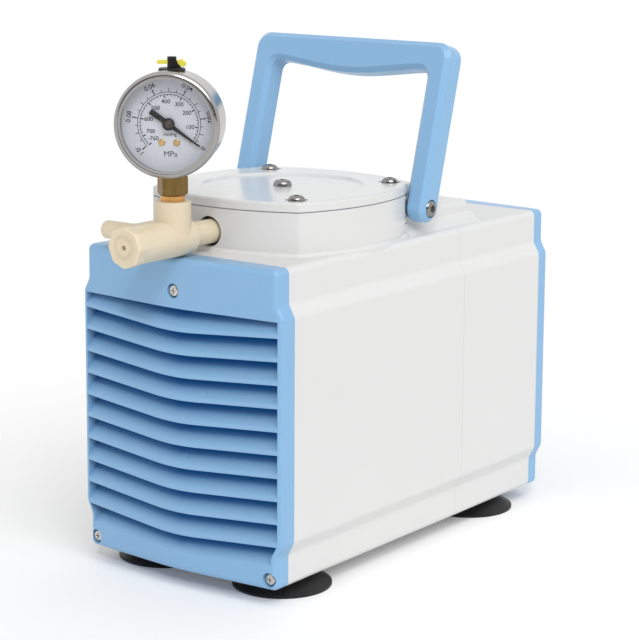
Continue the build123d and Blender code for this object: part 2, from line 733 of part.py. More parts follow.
def stator():
    """Laminated stack with winding slots towards the bore."""
    core = ring_y(STATOR_R, ROTOR_R + 0.5, *STATOR_Y, SHAFT_Z)
    for k in range(12):
        slot = Rot(0, 30 * k, 0) * block((30, 38), (STATOR_Y[0] - 1, STATOR_Y[1] + 1), (-3, 3))
        core -= Pos(0, 0, SHAFT_Z) * slot
    return core


def windings():
    """Copper coils: bars in the slots joined by a bundled end turn at each end of the stack."""
    coils = ring_y(40, 28, STATOR_Y[0] - 12, STATOR_Y[0], SHAFT_Z)
    coils += ring_y(40, 28, STATOR_Y[1], STATOR_Y[1] + 12, SHAFT_Z)
    for k in range(12):
        bar = Rot(0, 30 * k, 0) * block((30.5, 37.5), (STATOR_Y[0] - 1, STATOR_Y[1] + 1), (-2.5, 2.5))
        coils += Pos(0, 0, SHAFT_Z) * bar
    return coils


def bearing(start, width, inner, outer, z):
    """Sealed ball bearing drawn as one ring with shallow grooves for its shields."""
    ring = ring_y(outer, inner, start, start + width, z)
    middle = (inner + outer) / 2
    for y in (start - 0.5, start + width - 0.5):
        ring -= ring_y(middle + 1.6, middle - 1.6, y, y + 1.0, z)
    return ring


def end_bracket(plate_y, skirt, bearing_y, foot_half):
    """Motor end bracket: plate with bearing seat, skirt over the stator, foot on the housing floor."""
    plate = bar_y(STATOR_R + 4, *plate_y, 0, SHAFT_Z)
    plate += ring_y(STATOR_R + 4, STATOR_R, *skirt, SHAFT_Z)
    plate += block((1 - foot_half, foot_half - 1), plate_y, (WALL, SHAFT_Z - 30))
    plate += block((-foot_half, foot_half), (plate_y[0], plate_y[0] + 16), (WALL, WALL + 5))
    plate += bar_y(BEARING_R + 4, bearing_y - 1, bearing_y + BEARING_W + 1, 0, SHAFT_Z)
    plate -= bar_y(BEARING_R, bearing_y, bearing_y + BEARING_W, 0, SHAFT_Z)
    plate -= bar_y(SHAFT_R + 1.5, 60, 260, 0, SHAFT_Z)
    for turn in range(0, 360, 60):
        hole = Rot(0, turn, 0) * Pos(0, 0, 34) * Rot(90, 0, 0) * Cylinder(7, 60)
        plate -= Pos(0, (plate_y[0] + plate_y[1]) / 2, SHAFT_Z) * hole
    return plate


def cooling_fan():
    """Radial-bladed axial fan on the tail of the shaft."""
    fan = ring_y(14, SHAFT_R, 217, 230, SHAFT_Z)
    for k in range(9):
        vane = Rot(0, 40 * k, 0) * Pos(30, 223, 0) * Rot(32, 0, 0) * Box(36, 2, 12)
        fan += Pos(0, 0, SHAFT_Z) * vane
    return fan


def run_capacitor():
    """Round capacitor lying on the housing floor beside the motor, with two flat terminals."""
    start, end = CAPACITOR_Y
    middle = WALL + CAPACITOR_R
    can = bar_y(CAPACITOR_R, start, end, -43.5, middle)
    can = fillet(can.edges().filter_by(GeomType.CIRCLE), 1.5)
    for x in (-49, -38):
        can += block((x - 3, x + 3), (end, end + 8), (middle - 0.4, middle + 0.4))
    return can


def exhaust_fairing():
    """Cast cap behind the head over the exhaust passage, with sloping sides and a hollow inside."""
    start, end = FAIRING_Y
    knee_z = HOUSING_H + 6.0
    half = [(60.0, HOUSING_H), (53.6, knee_z), (52.8, FAIRING_TOP)]
    outline = Polyline(*half, *[(-x, z) for x, z in reversed(half)], close=True)
    cap = extrude_y(make_face(outline), start - 22, end)
    upper = [e for e in cap.edges().filter_by(Axis.Y) if e.center().Z > FAIRING_TOP - 0.1]
    cap = fillet(upper, 4.0)
    above = HOUSING_H + 20.0
    slope = Polyline((end, HOUSING_H), (end + 9, HOUSING_H), (end + 9, above), (end - 5, above), close=True)
    cap -= extrude(make_face(Plane.YZ * slope), amount=80, both=True)
    rear = [e for e in cap.edges() if e.center().Y > end - 4.5 and e.center().Z > FAIRING_TOP - 3]
    cap = fillet(rear, 2.0)
    cap -= head_base()
    head = extrude(Pos(0, 0, HOUSING_H - 1) * head_plan(), amount=30)
    cap -= head - handle_notches(HANDLE_LUG_X - HEAD_NOTCH_STEP)
    cap -= bar_x(HANDLE_LUG_R + 0.1, -60, 60, PIVOT_Y, PIVOT_Z)
    cap -= block((-46, 46), (150, end - 9), (HOUSING_H - 1, FAIRING_TOP - FAIRING_ROOF))
    return cap - bar_y(EXHAUST_R, 120, 152, 0, EXHAUST_Z)


def exhaust_silencer():
    """Sintered silencer on a threaded spigot in the head's exhaust passage, inside the fairing."""
    body = bar_y(4.4, 151.5, 172, 0, EXHAUST_Z)
    body = chamfer(body.edges().sort_by(Axis.Y)[-1], 1.0)
    return body + bar_y(EXHAUST_R - 0.1, 132, 151.5, 0, EXHAUST_Z) - bar_y(2.0, 131, 165, 0, EXHAUST_Z)


# ---------------------------------------------------------------- intake line


def port_nipple():
    """Nylon tube that screws into the head port and carries the cross fitting."""
    tube = bar_y(NIPPLE_R, CROSS_Y + 6.5, 27.5, 0, PORT_Z)
    return tube - bar_y(4.5, CROSS_Y - 10, 30, 0, PORT_Z)


def port_seal():
    """Sealing ring in the bottom of the port's mouth."""
    return ring_y(PORT_HOLE_R, NIPPLE_R, 17.4, 20.0, PORT_Z)


def nozzle(y, z):
    """Hose nozzle: cone down to a plain spigot with a rounded tip, pointing to -X."""
    reach = -NOZZLE_END_X
    points = [(0, 0), (0, 9.4), (9.0, 9.4), (26.0, NOZZLE_R + 0.3), (30.0, NOZZLE_R), (reach, NOZZLE_R)]
    body = revolve(make_face(Plane.XY * Polyline(*points, (reach, 0), close=True)), Axis.X)
    tip = body.edges().filter_by(GeomType.CIRCLE).sort_by(Axis.X)[-1]
    body = fillet(tip, 1.6)
    return Pos(0, y, z) * Rot(0, 0, 180) * body


def cross_fitting():
    """Four-way nylon fitting: valve barrel, hose nozzle, gauge boss and the socket of the port tube."""
    barrel = bar_y(BARREL_R, BARREL_END_Y, -3.0, 0, PORT_Z)
    barrel = fillet(barrel.edges().filter_by(GeomType.CIRCLE).sort_by(Axis.Y)[-1], 2.0)
    boss = bar_z(BOSS_R, PORT_Z, BOSS_TOP, 0, CROSS_Y)
    boss = chamfer(boss.edges().filter_by(GeomType.CIRCLE).sort_by(Axis.Z)[-1], 0.6)
    fitting = barrel + boss + nozzle(CROSS_Y, PORT_Z)
    fitting -= bar_y(BARREL_BORE_R, BARREL_END_Y - 1, CROSS_Y + 8, 0, PORT_Z)
    fitting -= bar_y(NIPPLE_R, CROSS_Y + 6.5, 0, 0, PORT_Z)
    fitting -= bar_z(3.0, PORT_Z, BOSS_TOP + 1, 0, CROSS_Y)
    fitting -= bar_z(COLLAR_R, BOSS_TOP - 8, BOSS_TOP + 1, 0, CROSS_Y)
    return fitting - bar_x(2.8, NOZZLE_END_X - 1, 0, CROSS_Y, PORT_Z)


def regulating_knob():
    """Eight-sided knob with rounded corners and a raised hub on its face."""
    outline = RegularPolygon(KNOB_R + 0.3, 8)
    outline = fillet(outline.vertices(), 3.0)
    knob = extrude_y(outline, KNOB_FACE_Y, KNOB_BACK_Y)
    knob = fillet(knob.edges().group_by(Axis.Y)[0], 0.8)
    groove = bar_y(6.6, KNOB_FACE_Y - 1, KNOB_FACE_Y + 0.6, 0, 0)
    knob -= groove - bar_y(4.2, KNOB_FACE_Y - 2, KNOB_FACE_Y + 1, 0, 0)
    knob -= bar_y(1.4, KNOB_FACE_Y - 1, KNOB_FACE_Y + 2.6, 0, 0)
    knob -= bar_y(KNOB_SPIGOT_R, KNOB_BACK_Y - 3, KNOB_BACK_Y + 1, 0, 0)
    return Pos(0, 0, PORT_Z) * knob


def valve_stem():
    """Needle stem of the vacuum regulator, fixed in the knob and turning in the barrel."""
    head = KNOB_BACK_Y - 3
    points = [(0, head), (KNOB_SPIGOT_R, head), (KNOB_SPIGOT_R, KNOB_BACK_Y), (STEM_R, KNOB_BACK_Y)]
    points += [(STEM_R, -30), (1.2, -24.5), (0, -24.5)]
    return Pos(0, 0, PORT_Z) * revolve_y(points)


# ---------------------------------------------------------------- gauge


def at_gauge(shape):
    """Place a piece drawn about the gauge's own axis, dial towards -Y."""
    return Pos(0, CROSS_Y, GAUGE_Z) * Rot(0, 0, GAUGE_TURN) * shape


def gauge_disc(radius, front, back):
    """Disc about the gauge axis, between two distances in front of the stem."""
    return bar_y(radius, -front, -back, 0, 0)


def gauge_case():
    """Deep drawn cup, open to the front, with a hole for the stem and one for the vent plug."""
    case = gauge_disc(CASE_R, BEZEL_BACK, CASE_BACK)
    case = fillet(case.edges().filter_by(GeomType.CIRCLE).sort_by(Axis.Y)[-1], 2.5)
    case -= gauge_disc(CASE_R - CASE_WALL, BEZEL_BACK + 1, CASE_BACK + CASE_WALL)
    case -= bar_z(5.0, -CASE_R - 2, -CASE_R + 4, 0, 0)
    case -= bar_z(3.0, CASE_R - 4, CASE_R + 2, 0, 0)
    return at_gauge(case)


def gauge_bezel():
    """Pressed steel ring that holds the glass: rolled outer edge, a groove beside it and an inner lip."""
    ring = gauge_disc(BEZEL_R, BEZEL_FRONT, BEZEL_BACK)
    ring = fillet(ring.edges().filter_by(GeomType.CIRCLE).sort_by(Axis.Y)[0], BEZEL_ROLL)
    root = BEZEL_R - BEZEL_ROLL
    groove = gauge_disc(root + 0.2, BEZEL_FRONT + 1, BEZEL_FRONT - 0.6)
    ring -= groove - gauge_disc(root - 0.3, BEZEL_FRONT + 2, BEZEL_FRONT - 1)
    ring -= gauge_disc(DIAL_R + 0.6, BEZEL_FRONT - 1.0, BEZEL_BACK - 1)
    return at_gauge(ring - gauge_disc(DIAL_R - 0.6, BEZEL_FRONT + 1, BEZEL_BACK - 1))


def gauge_glass():
    return at_gauge(gauge_disc(DIAL_R + 0.6, BEZEL_FRONT - 1.0, BEZEL_FRONT - 1.0 - GLASS_T))


def gauge_dial():
    """Printed dial plate with holes for the arbor and its two screws."""
    dial = gauge_disc(DIAL_R + 0.6, DIAL_AT, DIAL_AT - DIAL_T) - gauge_disc(1.4, DIAL_AT + 1, DIAL_AT - 2)
    for x in (-DIAL_SCREW_X, DIAL_SCREW_X):
        dial -= Pos(x, 0, DIAL_SCREW_Z) * gauge_disc(1.0, DIAL_AT + 1, DIAL_AT - 2)
    return at_gauge(dial)


def dial_screws():
    screws = []
    for x in (-DIAL_SCREW_X, DIAL_SCREW_X):
        head = gauge_disc(1.8, DIAL_AT + 0.8, DIAL_AT)
        head = fillet(head.edges().filter_by(GeomType.CIRCLE).sort_by(Axis.Y)[0], 0.7)
        screws.append(Pos(x, 0, DIAL_SCREW_Z) * (head + gauge_disc(1.0, DIAL_AT, DIAL_AT - 4.5)))
    return at_gauge(Compound(children=screws))


def gauge_pointer():
    """Tapered pointer with a broad tail, on its arbor; at rest it points to zero."""
    half = [(-11.5, 1.5), (-1, 1.3), (POINTER_R, 0.25)]
    blade_face = make_face(Polyline(*half, *[(x, -z) for x, z in reversed(half)], close=True))
    needle = extrude_y(blade_face, -DIAL_AT - 1.8, -DIAL_AT - 1.2)
    pointer = Rot(0, -POINTER_ZERO, 0) * needle
    pointer += gauge_disc(3.2, DIAL_AT + 2.2, DIAL_AT + 1.2)
    return at_gauge(pointer + gauge_disc(1.34, DIAL_AT + 2.2, DIAL_AT - 5.4))


def gauge_movement():
    """Socket block, carrier of the arbor and coiled pressure tube behind the dial, as one piece."""
    socket = block((-5, 5), (-6, 4), (-CASE_R + 4, -12))
    carrier = block((-7, 7), (-DIAL_AT + 3.0, -DIAL_AT + 5.6), (-14, 6))
    carrier -= bar_y(1.4, -DIAL_AT, -2, 0, 0)
    for x in (-DIAL_SCREW_X, DIAL_SCREW_X):
        carrier -= Pos(x, 0, DIAL_SCREW_Z) * gauge_disc(1.0, DIAL_AT + 1, DIAL_AT - 6)
    coil = bar_y(19, -2, 2, 0, 0) - bar_y(16, -3, 3, 0, 0)
    coil -= block((-30, -6), (-8, 8), (-30, -4))
    return at_gauge(socket + carrier + coil)


def gauge_stem():
    """Brass stem: thread in the fitting, hexagon above it, neck into the case."""
    low, high = HEX_Z
    flat, corner = HEX_AF / 2, HEX_AF / sqrt(3)
    turned = [(0, low), (flat - 0.5, low), (corner + 0.2, low + 1.5), (corner + 0.2, high - 0.8)]
    turned += [(flat + 0.2, high), (0, high)]
    hexagon = extrude(Pos(0, 0, low) * RegularPolygon(corner, 6), amount=high - low) & revolve_z(turned)
    stem = hexagon + bar_z(COLLAR_R, BOSS_TOP - 7.6, low + 0.2, 0, 0)
    stem += bar_z(4.6, high - 1, GAUGE_Z - CASE_R + 4, 0, 0)
    stem -= bar_z(2.0, BOSS_TOP - 9, GAUGE_Z - CASE_R + 2, 0, 0)
    return Pos(0, CROSS_Y, 0) * Rot(0, 0, GAUGE_TURN) * stem


def vent_plug():
    """Black rubber plug in the top of the gauge case, with a hole for the peg of its post."""
    flange = [(0, CASE_R - 0.4), (PLUG_R, CASE_R - 0.4), (PLUG_R, CASE_R + PLUG_H - 0.5)]
    flange += [(PLUG_R - 0.5, CASE_R + PLUG_H), (0, CASE_R + PLUG_H)]
    plug = revolve_z(flange) - bar_y(CASE_R, -30, 30, 0, 0)
    plug += bar_z(2.9, CASE_R - 4, CASE_R + 0.5, 0, 0)
    return at_gauge(plug - bar_z(POST_PEG_R + 0.05, CASE_R - 3, CASE_R + 5, 0, 0))


def vent_post():
    """Turning post on the plug: a peg below, a slot for the lever and a curved side rib."""
    low = CASE_R + PLUG_H + 0.1
    post = bar_z(POST_R, low, CASE_R + POST_TOP, 0, 0) + bar_z(POST_PEG_R, CASE_R - 2.5, low, 0, 0)
    rib = Polyline((1.5, low), (5.6, low), (3.4, low + 2.4), (2.3, low + 5.2), (1.5, low + 5.2), close=True)
    post += extrude_y(make_face(rib), -2.3, -1.4)
    slot_z = CASE_R + LEVER_LOW
    post -= block((-5, 5), (-1.35, 1.35), (slot_z - 0.05, slot_z + LEVER_T + 0.05))
    return at_gauge(post)


def vent_lever():
    """Yellow lever through the post; turning it with the post opens the vent."""
    low = CASE_R + LEVER_LOW
    lever = block((-LEVER_REACH, 4), (-1.3, 1.3), (low, low + LEVER_T))
    lever = fillet(lever.edges().filter_by(Axis.Y).group_by(Axis.X)[0], LEVER_T / 2 - 0.1)
    paddle = [(2.6, low + 0.2), (5.0, low - 0.9), (6.6, low - 1.4), (LEVER_REACH, low + 0.6)]
    paddle += [(5.4, low + LEVER_T + 0.7), (2.6, low + LEVER_T - 0.2)]
    wing = extrude_y(make_face(Polyline(*paddle, close=True)), -1.3, 1.3)
    wing = fillet([e for e in wing.edges().filter_by(Axis.Y) if e.center().X > 5.2], 0.7)
    return at_gauge(lever + wing)


# ---------------------------------------------------------------- handle


def handle_profile():
    """Front view of the handle, pivot at the origin: outer outline less the hand opening."""
    foot = -HANDLE_DEPTH / 2
    corners = [(-HANDLE_HALF, foot), (-HANDLE_HALF, HANDLE_H), (HANDLE_HALF, HANDLE_H), (HANDLE_HALF, foot)]
    face = make_face(Polyline(*corners, close=True))
    face = fillet(face.vertices().group_by(Axis.Y)[-1], 9.0)
    inner = HANDLE_HALF - HANDLE_THICK
    under = HANDLE_H - GRIP_H
    shoulder = (inner * 0.55, under - GRIP_SAG * 0.45)
    bulge = [shoulder, (0, under - GRIP_SAG), (-shoulder[0], shoulder[1])]
    grip = Spline((inner, under), *bulge, (-inner, under), tangents=((-1, 0), (-1, 0)))
    sides = Polyline((-inner, under), (-inner, -30), (inner, -30), (inner, under))
    opening = make_face(sides + grip)
    opening = fillet([v for v in opening.vertices() if abs(v.Y - under) < 0.1], 5.0)
    return face - opening


def handle():
    """One-piece bail with chamfered legs and a grip that swells downwards in the middle."""
    half = HANDLE_DEPTH / 2
    body = extrude_y(handle_profile(), -half, half)
    body -= block((-80, 80), (-20, 20), (-20, 0)) - bar_x(half, -80, 80, 0, 0)
    rims = [e for e in body.edges() if abs(abs(e.center().Y) - half) < 0.01 and e.center().Z > 0.01]
    rims += [e for e in body.edges().filter_by(GeomType.CIRCLE) if e.center().Z < -1]
    body = chamfer(rims, HANDLE_CHAMFER)
    for side in (-1, 1):
        body -= bar_x(HANDLE_BORE_R, side * 50, side * 75, 0, 0)
        body -= bar_x(HANDLE_SCREW_HEAD_R + HANDLE_SEAT_GAP, side * HANDLE_SEAT_X, side * 75, 0, 0)
    return Pos(0, PIVOT_Y, PIVOT_Z) * Rot(-HANDLE_LEAN, 0, 0) * body


def handle_screws():
    """Shouldered button-head screws that the handle turns on."""
    screws = []
    seat = HANDLE_SEAT_X + 0.1
    for side in (-1, 1):
        head = Cylinder(HANDLE_SCREW_HEAD_R, 2.8)
        head = fillet(head.edges().group_by(Axis.Z)[-1], 2.0)
        head -= extrude(RegularPolygon(2.3, 6), amount=3)
        head = Pos(side * (seat + 1.4), PIVOT_Y, PIVOT_Z) * Rot(0, side * 90, 0) * head
        pin = bar_x(HANDLE_PIN_R, side * HANDLE_LUG_X, side * seat, PIVOT_Y, PIVOT_Z)
        thread = bar_x(HANDLE_THREAD_R, side * (HANDLE_THREAD_X + 1), side * HANDLE_LUG_X, PIVOT_Y, PIVOT_Z)
        screws.append(head + pin + thread)
    return Compound(children=screws)


def handle_washers():
    """Thin washers between the lugs of the head and the handle legs."""
    washers = []
    for side in (-1, 1):
        ring = bar_x(HANDLE_LUG_R, side * HANDLE_LUG_X, side * (HANDLE_LUG_X + WASHER_T), PIVOT_Y, PIVOT_Z)
        washers.append(ring - bar_x(HANDLE_PIN_R, side * 50, side * 60, PIVOT_Y, PIVOT_Z))
    return Compound(children=washers)


def main():
    os.makedirs("parts", exist_ok=True)
    save("housing_front", housing_front())
    save("housing_rear", housing_rear())
    save("front_cover", louvred_cover(BLADE_COUNT))
    save("rear_cover", rear_cover())
    front = [cover_screw(x, z) for x, z in COVER_SCREWS]
    save("cover_screws", Compound(children=front + [to_rear(s) for s in front]))
    save("inlet_body", inlet_body())
    save("inlet_pins", inlet_pins())
    save("inlet_screws", inlet_screws())
    save("switch_body", switch_body())
    save("switch_rocker", switch_rocker())
    for side, x in (("left", -FOOT_X), ("right", FOOT_X)):
        for end, y in zip(("front", "rear"), FOOT_Y):
            save(f"foot_{end}_{side}", foot(x, y))
    save("foot_screws", foot_screws())
    save("pump_head", pump_head())
    save("head_plate", head_plate())
    save("head_gasket", head_gasket())
    save("head_screws", head_screws())
    save("centre_screw", centre_screw())
    save("valve_plate", valve_plate())
    save("intake_valve_disc", valve_disc(-1))
    save("exhaust_valve_disc", valve_disc(1))
    save("diaphragm", diaphragm())
    save("clamp_disc", clamp_disc())
    save("diaphragm_screw", diaphragm_screw())
    save("connecting_rod", connecting_rod())
    save("rod_bearing", bearing(ROD_Y[0], ROD_Y[1] - ROD_Y[0], 12.0, 20.0, CRANK_Z))
    save("eccentric", eccentric())
    save("motor_shaft", motor_shaft())
    save("rotor", rotor())
    save("stator", stator())
    save("windings", windings())
    save("front_bearing", bearing(FRONT_BEARING_Y, BEARING_W, SHAFT_R + 0.05, BEARING_R, SHAFT_Z))
    save("rear_bearing", bearing(REAR_BEARING_Y, BEARING_W, SHAFT_R + 0.05, BEARING_R, SHAFT_Z))
    save("front_bracket", end_bracket((104.0, 112.0), (112.0, 132.0), FRONT_BEARING_Y, 25))
    save("rear_bracket", end_bracket((204.0, 212.0), (184.0, 204.0), REAR_BEARING_Y, 31))
    save("cooling_fan", cooling_fan())
    save("run_capacitor", run_capacitor())
    save("exhaust_fairing", exhaust_fairing())
    save("exhaust_silencer", exhaust_silencer())
    save("port_nipple", port_nipple())
    save("port_seal", port_seal())
    save("cross_fitting", cross_fitting())
    save("regulating_knob", regulating_knob())
    save("valve_stem", valve_stem())
    save("gauge_case", gauge_case())
    save("gauge_bezel", gauge_bezel())
    save("gauge_glass", gauge_glass())
    save("gauge_dial", gauge_dial())
    save("dial_screws", dial_screws())
    save("gauge_pointer", gauge_pointer())
    save("gauge_movement", gauge_movement())
    save("gauge_stem", gauge_stem())
    save("vent_plug", vent_plug())
    save("vent_post", vent_post())
    save("vent_lever", vent_lever())
    save("handle", handle())
    save("handle_screws", handle_screws())
    save("handle_washers", handle_washers())


main()
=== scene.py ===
import json
from math import cos, pi, radians, sin

import bpy
from mathutils import Matrix, Vector


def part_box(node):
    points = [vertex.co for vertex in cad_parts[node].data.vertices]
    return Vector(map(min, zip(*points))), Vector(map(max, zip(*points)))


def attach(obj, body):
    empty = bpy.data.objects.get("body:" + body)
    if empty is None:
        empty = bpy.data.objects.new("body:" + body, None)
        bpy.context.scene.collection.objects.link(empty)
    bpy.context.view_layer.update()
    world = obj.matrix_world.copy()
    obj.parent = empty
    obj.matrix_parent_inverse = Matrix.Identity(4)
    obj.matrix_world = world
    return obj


# Looks of the diaphragm vacuum pump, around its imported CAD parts, in the order it is assembled.
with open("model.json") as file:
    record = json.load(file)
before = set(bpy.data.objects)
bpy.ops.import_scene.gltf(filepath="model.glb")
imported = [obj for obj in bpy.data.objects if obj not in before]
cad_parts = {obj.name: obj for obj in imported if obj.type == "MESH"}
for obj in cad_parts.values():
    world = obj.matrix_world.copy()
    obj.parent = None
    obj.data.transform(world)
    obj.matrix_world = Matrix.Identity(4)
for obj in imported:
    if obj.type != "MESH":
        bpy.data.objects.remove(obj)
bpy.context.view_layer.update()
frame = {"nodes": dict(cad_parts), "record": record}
nodes = frame["nodes"]
joints = {joint["name"]: joint for joint in frame["record"]["behaviour"]["joints"]}


# Housing: a tube of cast aluminium in two lengths, powder coated white inside and out. The seam where
# the rear length slides on shows as a hairline, and the coat has a faint orange-peel surface.
class Wire:
    """A socket that takes part in plain sums."""

    def __init__(self, maker, socket):
        self.maker = maker
        self.socket = socket

    def sum_with(self, operation, first, second):
        return self.maker.node("Math", {"operation": operation}, {0: first, 1: second})

    def __add__(self, other):
        return self.sum_with("ADD", self, other)

    def __sub__(self, other):
        return self.sum_with("SUBTRACT", self, other)

    def __rsub__(self, other):
        return self.sum_with("SUBTRACT", other, self)

    def __mul__(self, other):
        return self.sum_with("MULTIPLY", self, other)

    def __lt__(self, other):
        return self.sum_with("LESS_THAN", self, other)

    def __abs__(self):
        return self.maker.node("Math", {"operation": "ABSOLUTE"}, {0: self})

    __radd__ = __add__
    __rmul__ = __mul__


class Maker:
    """A node tree and the one way in which its nodes are made."""

    def __init__(self, tree):
        self.tree = tree

    def feed(self, socket, value):
        if isinstance(value, Wire):
            self.tree.links.new(value.socket, socket)
        else:
            socket.default_value = value

    def node(self, kind, settings=None, inputs=None, out=0):
        """Any node: its settings first, then the values or wires of its sockets."""
        made = self.tree.nodes.new(kind if "Node" in kind else "ShaderNode" + kind)
        for key, value in (settings or {}).items():
            setattr(made, key, value)
        for key, value in (inputs or {}).items():
            self.feed(made.inputs[key], value)
        return Wire(self, made.outputs[out])

    def mix(self, factor, low, high):
        """Colour between two colours or wires, by a factor from 0 to 1."""
        low, high = (value if isinstance(value, Wire) else (*value, 1) for value in (low, high))
        return self.node("Mix", {"data_type": "RGBA"}, {"Factor": factor, 6: low, 7: high}, out=2)


class Finish(Maker):
    """A material about one principled shader, with its patterns on object coordinates."""

    def __init__(self, name, roughness, color=(0.5, 0.5, 0.5), **constants):
        self.material = bpy.data.materials.new(name)
        self.material.use_nodes = True
        super().__init__(self.material.node_tree)
        self.shader = self.tree.nodes["Principled BSDF"]
        self.set("Base Color", (*color, 1))
        self.set("Roughness", roughness)
        for key, value in constants.items():
            self.set(key.replace("_", " ").title().replace("Ior", "IOR"), value)

    def set(self, name, value):
        self.feed(self.shader.inputs[name], value)

    def place(self):
        return self.node("TexCoord", out="Object")

    def axis(self, name):
        return self.node("SeparateXYZ", inputs={0: self.place()}, out=name)

    def noise(self, scale, detail=3.0, vector=None):
        inputs = {"Vector": vector or self.place(), "Scale": scale, "Detail": detail}
        return self.node("TexNoise", inputs=inputs, out="Fac")

    def stripes(self, name, pitch):
        """Even waves along one axis, from 0 to 1."""
        wave = self.node("Math", {"operation": "SINE"}, {0: self.axis(name) * (2 * pi / pitch)})
        return wave * 0.5 + 0.5

    def stretched(self, x, y, z):
        """Object coordinates scaled by axis, for a grain that runs one way."""
        return self.node("Mapping", inputs={"Vector": self.place(), "Scale": (x, y, z)})

    def tone(self, factor, low, high):
        """Base colour between two colours, by a factor from 0 to 1."""
        mixed = self.mix(factor, low, high)
        self.set("Base Color", mixed)
        return mixed

    def rough(self, factor, low, high):
        self.set("Roughness", low + factor * (high - low))

    def grain(self, height, strength, depth):
        """Raise the surface by a pattern, through a bump node."""
        inputs = {"Height": height, "Strength": strength, "Distance": depth}
        self.set("Normal", self.node("Bump", inputs=inputs))

    def onto(self, *names):
        for name in names:
            nodes[name].material_slots[0].material = self.material


WHITE_LOW = (0.685, 0.685, 0.68)
WHITE_HIGH = (0.715, 0.715, 0.71)
white_coat = Finish("white_powder_coat", 0.38, Specular_IOR_Level=0.45)
SLIP_IN = 0.004
SEAM_HALF = 0.00018
seam_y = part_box("housing_rear")[0].y + SLIP_IN
seam = abs(white_coat.axis("Y") - seam_y) < SEAM_HALF
coat_tone = white_coat.tone(white_coat.noise(14, 2), WHITE_LOW, WHITE_HIGH)
white_coat.tone(seam * 0.35, coat_tone, (0.3, 0.3, 0.3))
white_coat.rough(white_coat.noise(60), 0.33, 0.43)
white_coat.grain(white_coat.noise(650, 2), 0.12, 0.0002)
white_coat.onto("housing_front", "housing_rear")


# Drive inside the housing: cast brackets and rod, turned steel shaft with its bearings, stamped
# laminations with enamelled copper windings, a moulded fan and the run capacitor.
cast = Finish("cast_aluminium_raw", 0.5, Metallic=1.0)
cast.tone(cast.noise(90, 4), (0.42, 0.42, 0.43), (0.58, 0.58, 0.58))
cast.grain(cast.noise(1200, 3), 0.3, 0.0003)
cast.onto("front_bracket", "rear_bracket", "connecting_rod", "valve_plate", "clamp_disc")

turned = Finish("turned_steel", 0.28, Metallic=1.0)
lathe_marks = turned.stretched(0.2, 6, 0.2)
turned.tone(turned.noise(500, 2, lathe_marks), (0.46, 0.46, 0.46), (0.62, 0.61, 0.6))
turned.rough(turned.noise(300, 2, lathe_marks), 0.2, 0.38)
turned.onto("motor_shaft", "eccentric", "front_bearing", "rear_bearing", "rod_bearing")
turned.onto("diaphragm_screw", "foot_screws", "handle_washers")

stack = Finish("stamped_laminations", 0.55, Metallic=0.8)
SHEET = 0.0005
stack.tone(stack.stripes("Y", SHEET), (0.10, 0.10, 0.11), (0.26, 0.26, 0.27))
stack.onto("rotor", "stator")

wire = Finish("enamelled_copper", 0.3, Metallic=0.85)
WIRE_PITCH = 0.0009
wire.tone(wire.stripes("X", WIRE_PITCH), (0.30, 0.10, 0.04), (0.66, 0.28, 0.12))
wire.onto("windings")

can = Finish("capacitor_can", 0.4)
can.tone(can.noise(40), (0.20, 0.20, 0.21), (0.27, 0.27, 0.28))
can.onto("run_capacitor")


# Diaphragm, valves and seals: smooth black elastomer, a little dusty in tone.
elastomer = Finish("smooth_elastomer", 0.5)
elastomer.tone(elastomer.noise(80), (0.012, 0.012, 0.012), (0.03, 0.03, 0.03))
elastomer.grain(elastomer.noise(900), 0.2, 0.0002)
elastomer.onto("diaphragm", "intake_valve_disc", "exhaust_valve_disc", "port_seal")

gasket = Finish("grey_fibre_gasket", 0.8)
gasket.tone(gasket.noise(400, 4), (0.20, 0.21, 0.23), (0.32, 0.33, 0.35))
gasket.grain(gasket.noise(1500, 3), 0.3, 0.0002)
gasket.onto("head_gasket")

sinter = Finish("sintered_bronze", 0.7, Metallic=0.9)
sinter.tone(sinter.noise(2500, 1), (0.22, 0.15, 0.07), (0.48, 0.36, 0.2))
sinter.grain(sinter.noise(2500, 1), 0.8, 0.0004)
sinter.onto("exhaust_silencer")


# Pump head, its cover plate and the exhaust cap: aluminium castings under a harder, glossier white
# coat. Four dome-head screws and one in the centre, dark nickel-plated, hold the plate down.
gloss_white = Finish("gloss_white_coat", 0.2, Specular_IOR_Level=0.5)
gloss_white.set("Coat Weight", 0.25)
gloss_white.set("Coat Roughness", 0.08)
gloss_white.tone(gloss_white.noise(18, 2), (0.665, 0.665, 0.66), (0.695, 0.695, 0.69))
gloss_white.rough(gloss_white.noise(45), 0.2, 0.3)
gloss_white.grain(gloss_white.noise(420, 2), 0.06, 0.0002)
gloss_white.onto("pump_head", "head_plate", "exhaust_fairing")

nickel = Finish("dark_nickel", 0.18, Metallic=1.0)
nickel.tone(nickel.noise(700, 2), (0.20, 0.19, 0.18), (0.36, 0.35, 0.34))
nickel.rough(nickel.noise(900, 2), 0.12, 0.26)
nickel.onto("head_screws", "centre_screw", "handle_screws")

zinc = Finish("bright_zinc", 0.2, Metallic=1.0)
zinc.tone(zinc.noise(900, 2), (0.50, 0.47, 0.44), (0.72, 0.70, 0.67))
zinc.rough(zinc.noise(1100, 2), 0.14, 0.28)
zinc.onto("cover_screws", "inlet_screws")


# Handle and covers: blue moulded plastic with a satin skin, fixed by cross-head screws. On the covers
# a deep blue painted shade is laid into the recesses behind the noses of the louvre blades.
BLUE_LOW = (0.22, 0.425, 0.665)
BLUE_HIGH = (0.245, 0.455, 0.70)
# Deep blue of the painted shade between the louvre blades.
BLUE_PAINTED_SHADE = (0.004, 0.16, 0.52)


